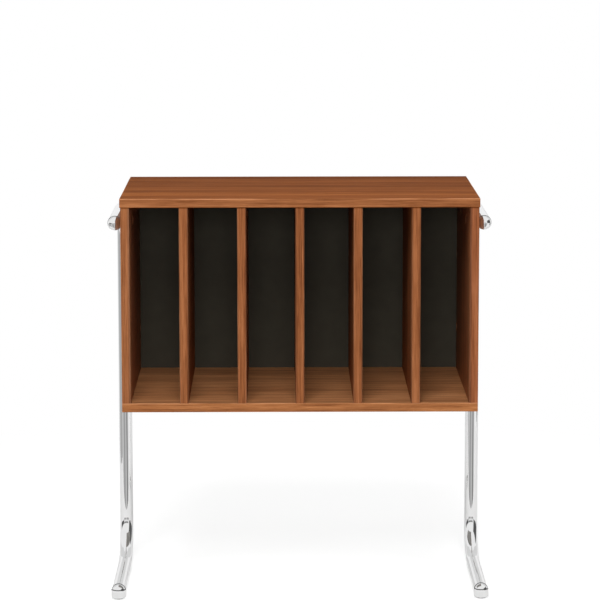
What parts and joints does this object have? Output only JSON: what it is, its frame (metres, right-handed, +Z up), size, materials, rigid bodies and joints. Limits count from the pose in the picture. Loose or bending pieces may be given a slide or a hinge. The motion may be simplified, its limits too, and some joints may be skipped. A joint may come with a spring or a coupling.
{
  "type": "record storage stand",
  "caption": "Open veneered wooden case of upright record cubbies, carried between two bent chrome tube side frames with ball ends and drum feet.",
  "frame": {"origin": "on the floor, below the middle of the stand's outer box", "axes": "+Z up, +X to the right seen from the open front, the open front faces -Y"},
  "size_m": [0.7034, 0.385, 0.757],
  "materials": {
    "veneer": "satin lacquered teak veneer on board",
    "edge_band": "satin lacquered teak edge band",
    "dowel_wood": "raw beech",
    "black_board": "matt black painted hardboard",
    "chrome": "polished chrome plate",
    "zinc_steel": "zinc plated steel",
    "black_steel": "black phosphated steel",
    "nylon": "moulded grey nylon"
  },
  "bodies": {
    "root": {"top_panel": "veneer", "bottom_panel": "veneer", "left_side_panel": "veneer", "right_side_panel": "veneer", "divider_1": "veneer", "divider_2": "veneer", "divider_3": "veneer", "divider_4": "veneer", "divider_5": "veneer", "back_panel": "black_board", "top_edge_bands": "edge_band", "bottom_edge_bands": "edge_band", "left_side_edge_band": "edge_band", "right_side_edge_band": "edge_band", "divider_edge_bands": "edge_band", "top_dowels": "dowel_wood", "case_screws": "zinc_steel", "back_screws": "black_steel", "left_frame_tube": "chrome", "right_frame_tube": "chrome", "left_top_cap": "chrome", "right_top_cap": "chrome", "left_foot_cap": "chrome", "right_foot_cap": "chrome", "left_foot_pad": "nylon", "right_foot_pad": "nylon", "left_rear_glide": "nylon", "right_rear_glide": "nylon", "left_saddles": "nylon", "right_saddles": "nylon", "left_frame_bolts": "zinc_steel", "right_frame_bolts": "zinc_steel", "left_washers": "zinc_steel", "right_washers": "zinc_steel", "left_tube_nuts": "black_steel", "right_tube_nuts": "black_steel"}
  },
  "joints": []
}
